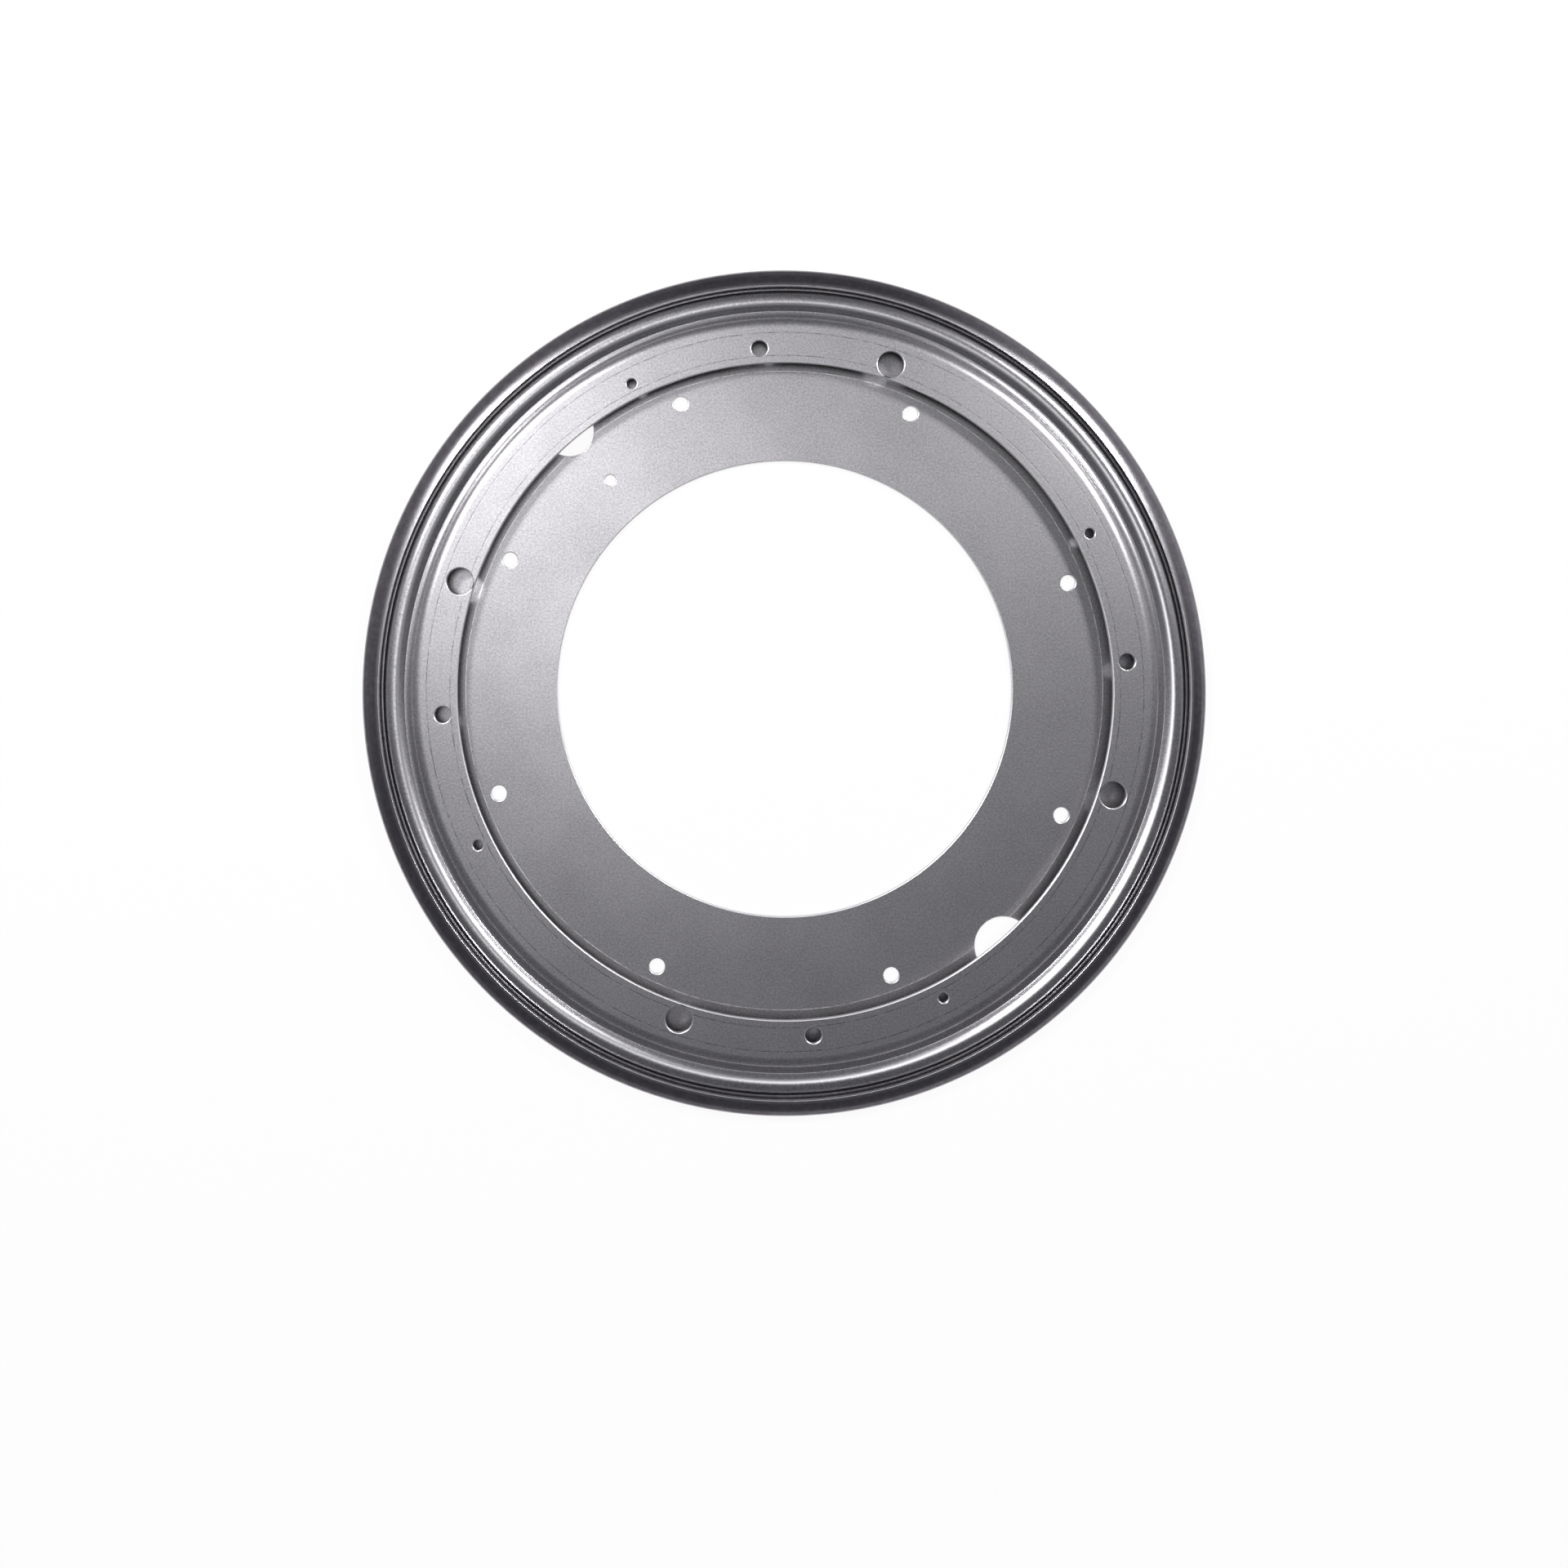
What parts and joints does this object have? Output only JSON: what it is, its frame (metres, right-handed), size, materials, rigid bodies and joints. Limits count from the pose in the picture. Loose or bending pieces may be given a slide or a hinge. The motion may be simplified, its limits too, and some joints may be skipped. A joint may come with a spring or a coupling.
{
  "type": "lazy susan bearing",
  "caption": "Flat round turntable bearing: two pressed zinc-plated steel rings turning on loose steel balls under a rolled lip.",
  "frame": {"origin": "centre of the underside, on the turning axis", "axes": "+Z along the turning axis, from the wide base ring to the narrow top ring; the screw holes of the base ring start 20.2 degrees from +X"},
  "size_m": [0.3048, 0.3048, 0.0079],
  "materials": {
    "zinc_plate": "satin zinc plate",
    "ball_steel": "polished"
  },
  "bodies": {
    "base": {"base_ring": "zinc_plate"},
    "turntable": {"top_ring": "zinc_plate"},
    "ball_train": {"ball_set_01": "ball_steel", "ball_set_02": "ball_steel", "ball_set_03": "ball_steel", "ball_set_04": "ball_steel", "ball_set_05": "ball_steel", "ball_set_06": "ball_steel", "ball_set_07": "ball_steel", "ball_set_08": "ball_steel", "ball_set_09": "ball_steel", "ball_set_10": "ball_steel", "ball_set_11": "ball_steel", "ball_set_12": "ball_steel", "ball_set_13": "ball_steel", "ball_set_14": "ball_steel", "ball_set_15": "ball_steel", "ball_set_16": "ball_steel", "ball_set_17": "ball_steel", "ball_set_18": "ball_steel", "ball_set_19": "ball_steel", "ball_set_20": "ball_steel"}
  },
  "joints": [
    {"name": "top_ring_turn", "type": "hinge", "parent": "base", "child": "turntable", "pos_m": [0, 0, 0.00397], "axis": [0, 0, 1], "continuous": true},
    {"name": "ball_train_turn", "type": "hinge", "parent": "base", "child": "ball_train", "pos_m": [0, 0, 0.00397], "axis": [0, 0, 1], "continuous": true}
  ],
  "couplings": [
    {"joint": "ball_train_turn", "follows": "top_ring_turn", "ratio": 0.5}
  ]
}
